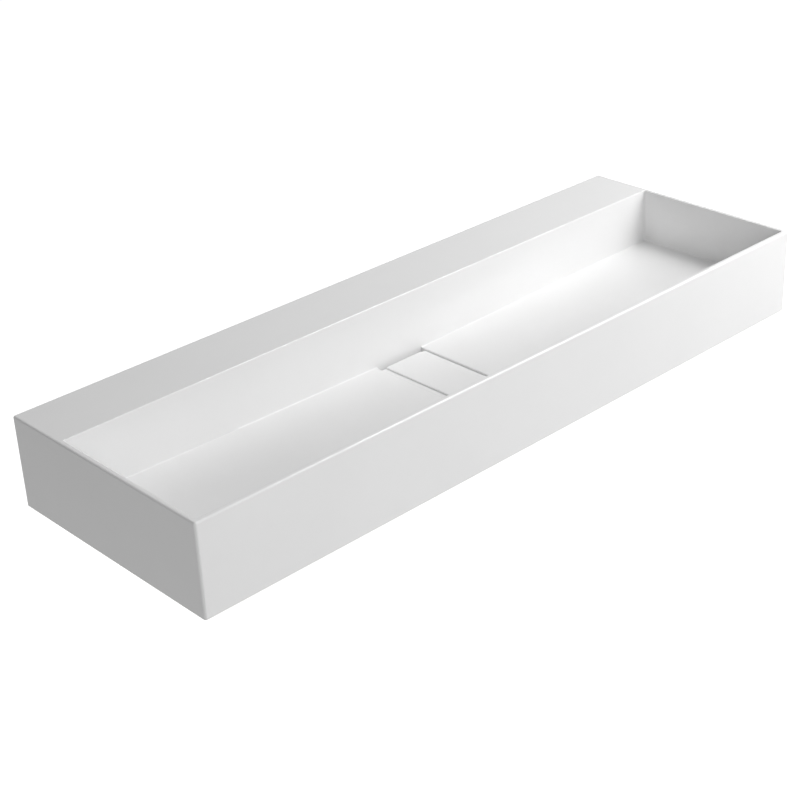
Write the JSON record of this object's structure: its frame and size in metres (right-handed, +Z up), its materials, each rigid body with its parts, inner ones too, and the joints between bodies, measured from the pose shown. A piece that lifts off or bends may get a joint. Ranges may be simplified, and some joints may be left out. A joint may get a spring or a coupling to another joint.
{
  "type": "washbasin",
  "caption": "Long rectangular wall-hung washbasin with a back ledge, a shallow bowl falling to a recessed lift-off cover plate, and a waste with a threaded tail below.",
  "frame": {"origin": "on the flat back face, midway along the basin, at the height of the wall fixing holes, 60 mm below the rim", "axes": "+X along the basin, +Y out of the back face into the wall, +Z up"},
  "size_m": [1.2, 0.4, 0.2025],
  "materials": {
    "glazed_ceramic": "glossy white glaze",
    "clear_silicone": "milky, soft",
    "white_rubber": "matt",
    "chromed_brass": "polished",
    "brushed_steel": "brushed",
    "screw_steel": "satin",
    "black_rubber": "matt",
    "white_plastic": "satin",
    "plain_brass": "machined"
  },
  "bodies": {
    "basin": {"basin_body": "glazed_ceramic", "flange_seal": "white_rubber", "waste_body": "chromed_brass", "waste_strainer": "brushed_steel", "strainer_screw": "screw_steel", "cone_seal": "black_rubber", "slip_washer": "white_plastic", "back_nut": "plain_brass"},
    "cover": {"drain_cover": "glazed_ceramic", "cover_pad_front_left": "clear_silicone", "cover_pad_front_right": "clear_silicone", "cover_pad_back_right": "clear_silicone", "cover_pad_back_left": "clear_silicone"}
  },
  "joints": [
    {"name": "cover_lift", "type": "slide", "parent": "basin", "child": "cover", "axis": [0, 0, 1], "range_m": [0, 0.15]}
  ]
}
